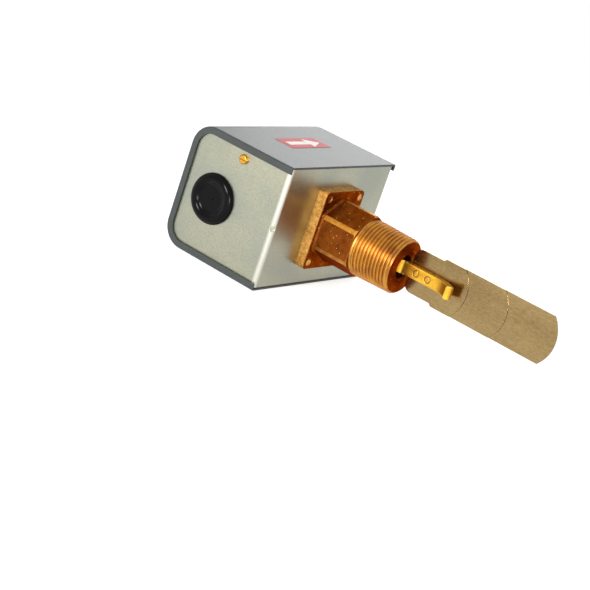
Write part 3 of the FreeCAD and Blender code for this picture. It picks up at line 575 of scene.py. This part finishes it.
def mark_regions(work):
    """Gives the flange's trimmed sides and the rounded edges their own material slots."""
    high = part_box("pipe_body")[1]
    near = 0.05 * MM
    flat_reach = 3          # degrees either side of a flat of the hexagon
    level, steep = 0.95, 0.1    # Z share of the normals of level and of upright faces
    flange_low = min(v.co.z for v in work.verts if abs(v.co.x) > high.x - near)
    for face in work.faces:
        middle = face.calc_center_median()
        upright = abs(face.normal.z) < steep
        if face.material_index == THREAD or middle.z < THREAD_TOP:
            continue
        if middle.z > flange_low - near:
            if upright:
                face.material_index = TRIMMED
            continue
        turn = math.degrees(math.atan2(face.normal.y, face.normal.x)) % 60
        flat = upright and min(turn, 60 - turn) < flat_reach
        # Above the hexagon's middle only upright faces count: the fillet there is hollow.
        convex = upright or middle.z < flange_low / 2
        # Convex rounded faces take the paler brass that paints their highlight.
        if convex and not flat and abs(face.normal.z) < level:
            face.material_index = ROUNDED


class FLOWSWITCH_OT_pipe_body(bpy.types.Operator):
    """Cuts the taper thread on the brass body and finishes it"""

    bl_idname = "flowswitch.pipe_body"
    bl_label = "Pipe body"

    def execute(self, context):
        sizes = context.scene.flow_switch_sizes
        colours = context.scene.flow_switch_colours
        mesh = threaded_body_mesh(sizes)
        finishes = (
            forged_brass(colours.brass_body), turned_brass(), trimmed_brass(), rubbed_brass(),
        )
        body = mesh_piece("threaded_body", mesh, finishes, "base")
        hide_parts("pipe_body")
        return {"FINISHED"}


# ---- enclosure ---------------------------------------------------------------------------
class FLOWSWITCH_OT_enclosure(bpy.types.Operator):
    """Finishes the base, the cover, the conduit plug and their screws"""

    bl_idname = "flowswitch.enclosure"
    bl_label = "Enclosure"

    def execute(self, context):
        colours = context.scene.flow_switch_colours
        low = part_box("base_bracket")[0]
        finish_nodes(zinc_plate(colours.zinc, low.x + low.z), "base_bracket")
        finish_nodes(stoved_enamel(colours.cover_paint), "cover")
        finish_nodes(black_nylon(), "conduit_plug")
        finish_nodes(plated_steel("plated screws"), "cover_screw", "cover_post")
        finish_nodes(brass_fitting("brass screws"), "earth_screw", "earth_nut", "flange_screws")
        return {"FINISHED"}


class FLOWSWITCH_OT_label(bpy.types.Operator):
    """Makes the printed film with its flow arrow"""

    bl_idname = "flowswitch.label"
    bl_label = "Flow label"

    def execute(self, context):
        colours = context.scene.flow_switch_colours
        low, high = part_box("flow_label")
        ink = 0.03 * MM         # thickness of the ink that stands on the film
        film = bmesh.new()
        bmesh.ops.create_cube(film, size=1.0)
        size = Vector((high.x - low.x, high.y - low.y - ink, high.z - low.z))
        bmesh.ops.scale(film, vec=size, verts=film.verts)
        centre = Vector(((low.x + high.x) / 2, high.y - size.y / 2, (low.z + high.z) / 2))
        bmesh.ops.translate(film, vec=centre, verts=film.verts)
        mesh = bpy.data.meshes.new("label_film")
        film.to_mesh(mesh)
        film.free()
        red = printed_film("red printed film", colours.label_red, "A8282E")
        piece = mesh_piece("label_film", mesh, (red,), "cover")
        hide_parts("flow_label")
        self.arrow(low, high, ink)
        return {"FINISHED"}

    def arrow(self, low, high, ink):
        """A block arrow that points along +X, in white ink on the film."""
        length = high.x - low.x
        height = high.z - low.z
        middle = (low.z + high.z) / 2
        tail = low.x + 0.10 * length
        neck = low.x + 0.62 * length
        tip = low.x + 0.93 * length
        shaft = 0.16 * height
        wing = 0.40 * height
        outline = [
            (tail, -shaft), (neck, -shaft), (neck, -wing), (tip, 0.0),
            (neck, wing), (neck, shaft), (tail, shaft),
        ]
        work = bmesh.new()
        front = [work.verts.new((x, low.y, middle + z)) for x, z in outline]
        face = work.faces.new(front)
        extruded = bmesh.ops.extrude_face_region(work, geom=[face])
        moved = [v for v in extruded["geom"] if isinstance(v, bmesh.types.BMVert)]
        bmesh.ops.translate(work, vec=(0, ink, 0), verts=moved)
        bmesh.ops.recalc_face_normals(work, faces=work.faces)
        mesh = bpy.data.meshes.new("label_arrow")
        work.to_mesh(mesh)
        work.free()
        white = printed_film("white printed ink", "F2EEE8", "E2D9D2")
        mesh_piece("label_arrow", mesh, (white,), "cover")


# ---- arm and paddles ---------------------------------------------------------------------
class FLOWSWITCH_OT_arm_and_paddles(bpy.types.Operator):
    """Finishes the arm, the paddles and their screws"""

    bl_idname = "flowswitch.arm_and_paddles"
    bl_label = "Arm and paddles"

    def execute(self, context):
        colours = context.scene.flow_switch_colours
        finish_nodes(drawn_brass(colours.brass_bar), "paddle_arm")
        # A dark ring round each screw's tip in the bar is painted shade, with some oxide there.
        screws = with_grime(brass_fitting("brass paddle screws", "E0AE3C"), "5A3208", 0.6, 0.9)
        finish_nodes(screws, "paddle_screws")
        bronze = rolled_bronze(colours.paddle_bronze)
        finish_nodes(bronze, "paddle_short", "paddle_medium", "paddle_long")
        finish_nodes(plated_steel("spring washers"), "paddle_washers")
        return {"FINISHED"}


# ---- mechanism ---------------------------------------------------------------------------
class FLOWSWITCH_OT_mechanism(bpy.types.Operator):
    """Finishes the frame, pivot, lever, range adjustment and bellows"""

    bl_idname = "flowswitch.mechanism"
    bl_label = "Mechanism"

    def execute(self, context):
        # Pressed sheet looks greyer and duller than the screws in it.
        sheet = plated_steel("plated sheet", "B8B8AE", "9A9A90", (0.3, 0.42))
        finish_nodes(sheet, "mechanism_frame", "range_bridge", "main_lever")
        # Pins and screws that were ground are the brightest and smoothest pieces.
        steel = plated_steel("ground steel", "C9C9C6", "AFAFAC", (0.18, 0.26))
        finish_nodes(
            steel, "pivot_pin", "pivot_ring", "range_screw", "range_clip",
            "bridge_screws", "lever_screws",
        )
        finish_nodes(brass_fitting("brass nut"), "range_nut")
        # Thin drawn brass, annealed between draws, looks paler than the nut.
        finish_nodes(brass_fitting("bellows brass", "DDB864", "BE9038"), "bellows")
        # Moulded rubber looks dull black, with a soft grain and no highlight.
        rubber = moulded_plastic("nitrile rubber", "171717", "101010", (0.55, 0.7), 0.04)
        finish_nodes(rubber, "seal_ring")
        # A dyed passivate gives the earth screw a clear green with steel's own sheen.
        green = plated_steel("green passivated steel", "3B8A4C", "256636", (0.3, 0.42))
        finish_nodes(green, "ground_screw")
        self.spring(context.scene.flow_switch_sizes)
        return {"FINISHED"}

    def spring(self, sizes):
        """The range spring as one smooth helix of round wire, pressed by the range nut."""
        low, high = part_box("range_spring")
        wire = sizes.spring_wire / 2
        radius = (high.x - low.x) / 2 - wire
        screw_low, screw_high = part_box("range_screw")
        centre_x = screw_low.x / 2 + screw_high.x / 2
        lever_rise = 0.75 * MM      # room for the lever, which rises as the paddle swings
        bottom = low.z + wire + lever_rise
        rise = high.z - wire - bottom
        steps_per_turn = 32
        steps = round(sizes.spring_turns * steps_per_turn)
        sides = 12
        work = bmesh.new()
        rings = []
        for step in range(steps + 1):
            share = step / steps
            turn = 2 * math.pi * sizes.spring_turns * share
            out = Vector((math.cos(turn), math.sin(turn), 0))
            centre = Vector((centre_x, 0, bottom + rise * share)) + out * radius
            ring = []
            for side in range(sides):
                angle = 2 * math.pi * side / sides
                up = Vector((0, 0, wire * math.sin(angle)))
                ring.append(work.verts.new(centre + out * wire * math.cos(angle) + up))
            rings.append(ring)
        for ring, following in zip(rings, rings[1:]):
            for side in range(sides):
                after = (side + 1) % sides
                work.faces.new((ring[side], ring[after], following[after], following[side]))
        work.faces.new(rings[0])
        work.faces.new(list(reversed(rings[-1])))
        bmesh.ops.recalc_face_normals(work, faces=work.faces)
        mesh = bpy.data.meshes.new("range_coil")
        work.to_mesh(mesh)
        work.free()
        mesh.polygons.foreach_set("use_smooth", [True] * len(mesh.polygons))
        # Drawn spring wire looks a darker grey than plated steel.
        wire_steel = plated_steel("spring wire", "9C9C9A", "80807E")
        coil = mesh_piece("range_coil", mesh, (wire_steel,))
        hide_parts("range_spring")
        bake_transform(coil)


class FLOWSWITCH_OT_snap_switch(bpy.types.Operator):
    """Finishes the snap switch and its three terminals"""

    bl_idname = "flowswitch.snap_switch"
    bl_label = "Snap switch"

    def execute(self, context):
        # Compression-moulded phenolic looks brownish black, with a satin sheen.
        phenolic = moulded_plastic("phenolic", "1F1D1C", "151413", (0.36, 0.5), 0.03)
        finish_nodes(phenolic, "switch_case")
        # Injection-moulded acetal looks milky white and slightly waxy.
        acetal = moulded_plastic("acetal", "DDD9CC", "CFCABB", (0.3, 0.4))
        finish_nodes(acetal, "switch_plunger")
        finish_nodes(brass_fitting("terminal brass"), "terminal_plates")
        finish_nodes(plated_steel("terminal screws"), "terminal_screws", "switch_screws")
        return {"FINISHED"}


# ---- studio ------------------------------------------------------------------------------
LENS = 100.07                   # millimetres
SENSOR = 36.0                   # millimetres across
CAMERA_PLACE = (-0.76611, -0.24730, -0.42495)
# The camera's own axes in the frame: its right, its up, and straight back from what it sees.
CAMERA_RIGHT = (0.572958, -0.312210, -0.757789)
CAMERA_UP = (0.083909, -0.897397, 0.433171)
CAMERA_BACK = (-0.815278, -0.311774, -0.487974)

# Name, place in metres, side of the square in metres, and watts.  The front lamp stands beside
# the camera, the left one faces the end with the plug, and the right one is over the far end.
LAMPS = (
    ("front", (-0.78, -0.18, -0.58), 0.30, 5.0),
    ("left", (-0.92, -0.34, 0.06), 0.25, 6.5),
    ("right", (0.84, -0.28, 0.46), 0.45, 2.4),
)
LAMP_AIM = (0, 0, 0.02)
FILL = 0.55                     # strength of the world's light on the object


class FLOWSWITCH_OT_studio(bpy.types.Operator):
    """Makes the camera, the lamps, the world and the floor"""

    bl_idname = "flowswitch.studio"
    bl_label = "Studio"

    def execute(self, context):
        self.camera(context)
        self.lamps(context)
        self.world(context)
        self.floor(context)
        context.scene.view_settings.view_transform = "Standard"
        return {"FINISHED"}

    def camera(self, context):
        """The camera looks up at the box from below its left front corner."""
        data = bpy.data.cameras.new("camera")
        data.sensor_width = SENSOR
        data.lens = LENS
        data.clip_start = 0.05
        data.clip_end = 20.0
        camera = bpy.data.objects.new("camera", data)
        turn = Matrix((CAMERA_RIGHT, CAMERA_UP, CAMERA_BACK)).transposed().to_4x4()
        camera.matrix_world = Matrix.Translation(CAMERA_PLACE) @ turn
        context.scene.collection.objects.link(camera)
        context.scene.camera = camera

    def lamps(self, context):
        """Square soft boxes that no ray from the camera sees."""
        for name, place, size, power in LAMPS:
            data = bpy.data.lights.new(name, "AREA")
            data.shape = "SQUARE"
            data.size = size
            data.energy = power
            lamp = bpy.data.objects.new(name, data)
            lamp.location = place
            aim = Vector(LAMP_AIM) - Vector(place)
            lamp.rotation_euler = aim.to_track_quat("-Z", "Y").to_euler()
            lamp.visible_camera = False
            context.scene.collection.objects.link(lamp)

    def seen(self, tree):
        """1 for the rays that show the studio as it looks: seen, mirrored or let through."""
        path = add_node(tree, "ShaderNodeLightPath")
        both = add_node(
            tree, "ShaderNodeMath",
            links={0: path.outputs["Is Camera Ray"], 1: path.outputs["Is Glossy Ray"]},
            operation="MAXIMUM",
        )
        return add_node(
            tree, "ShaderNodeMath",
            links={0: both.outputs["Value"], 1: path.outputs["Is Transmission Ray"]},
            operation="MAXIMUM",
        ).outputs["Value"]

    def world(self, context):
        """White where it is seen or mirrored, and a plain level of light on the object."""
        world = bpy.data.worlds.new("studio")
        world.use_nodes = True
        tree = world.node_tree
        tree.nodes.clear()
        fill = add_node(
            tree, "ShaderNodeBackground", {"Color": linear("FFFFFF"), "Strength": FILL},
        )
        white = add_node(
            tree, "ShaderNodeBackground", {"Color": linear("FFFFFF"), "Strength": 1.0},
        )
        mix = add_node(
            tree, "ShaderNodeMixShader",
            links={"Fac": self.seen(tree), 1: fill.outputs["Background"],
                   2: white.outputs["Background"]},
        )
        add_node(tree, "ShaderNodeOutputWorld", links={"Surface": mix.outputs["Shader"]})
        context.scene.world = world

    def floor(self, context):
        """White paper under the cover's back, seen from its upper side only.

        It looks matt and even.  Its fibres are too fine to show and are drawn at 4 mm.
        """
        gap = 0.2 * MM
        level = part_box("cover")[1].y + gap
        reach = 3.0             # metres, past what any view shows
        mesh = bpy.data.meshes.new("floor")
        corners = [(-reach, level, -reach), (reach, level, -reach),
                   (reach, level, reach), (-reach, level, reach)]
        mesh.from_pydata(corners, [], [(0, 1, 2, 3)])
        material = surface(
            "white paper", "F2F2F2", "EEEEEE", metallic=0.0, roughness=(0.8, 0.9),
            patches=60.0, grain=4.0, depth=0.01,
        )
        tree = material.node_tree
        shader = tree.nodes["Principled BSDF"]
        shader.inputs["Specular IOR Level"].default_value = 0.2
        # Where it is seen, the paper is lifted to white and still shows the shadow on it.
        lift = add_node(
            tree, "ShaderNodeEmission", {"Color": linear("BEBEBE")},
            {"Strength": self.seen(tree)},
        )
        both = add_node(
            tree, "ShaderNodeAddShader",
            links={0: shader.outputs["BSDF"], 1: lift.outputs["Emission"]},
        )
        side = add_node(tree, "ShaderNodeNewGeometry")
        clear = add_node(tree, "ShaderNodeBsdfTransparent")
        mix = add_node(
            tree, "ShaderNodeMixShader",
            links={"Fac": side.outputs["Backfacing"], 1: both.outputs["Shader"],
                   2: clear.outputs["BSDF"]},
        )
        output = tree.nodes["Material Output"]
        tree.links.new(mix.outputs["Shader"], output.inputs["Surface"])
        mesh.materials.append(material)
        floor = bpy.data.objects.new("floor", mesh)
        context.scene.collection.objects.link(floor)


# ---- panel and registration --------------------------------------------------------------
STEPS = (
    FLOWSWITCH_OT_pipe_body,
    FLOWSWITCH_OT_enclosure,
    FLOWSWITCH_OT_label,
    FLOWSWITCH_OT_arm_and_paddles,
    FLOWSWITCH_OT_mechanism,
    FLOWSWITCH_OT_snap_switch,
    FLOWSWITCH_OT_studio,
)


class FLOWSWITCH_PT_panel(bpy.types.Panel):
    """Lists the steps that dress the flow switch"""

    bl_idname = "FLOWSWITCH_PT_panel"
    bl_label = "Paddle Flow Switch"
    bl_space_type = "VIEW_3D"
    bl_region_type = "UI"
    bl_category = "Flow Switch"

    def draw(self, context):
        for step in STEPS:
            self.layout.operator(step.bl_idname)
        for group in (context.scene.flow_switch_sizes, context.scene.flow_switch_colours):
            for name in group.__annotations__:
                self.layout.prop(group, name)


CLASSES = (FlowSwitchSizes, FlowSwitchColours) + STEPS + (FLOWSWITCH_PT_panel,)


def register():
    """Registers the classes and gives the scene its two groups of settings."""
    for cls in CLASSES:
        bpy.utils.register_class(cls)
    scene = bpy.types.Scene
    scene.flow_switch_sizes = bpy.props.PointerProperty(type=FlowSwitchSizes)
    scene.flow_switch_colours = bpy.props.PointerProperty(type=FlowSwitchColours)


def unregister():
    """Takes the settings and the classes out again."""
    del bpy.types.Scene.flow_switch_colours
    del bpy.types.Scene.flow_switch_sizes
    for cls in reversed(CLASSES):
        bpy.utils.unregister_class(cls)


def main():
    """Runs every step in order."""
    register()
    for step in STEPS:
        group, name = step.bl_idname.split(".")
        getattr(getattr(bpy.ops, group), name)()


if __name__ == "__main__":
    main()
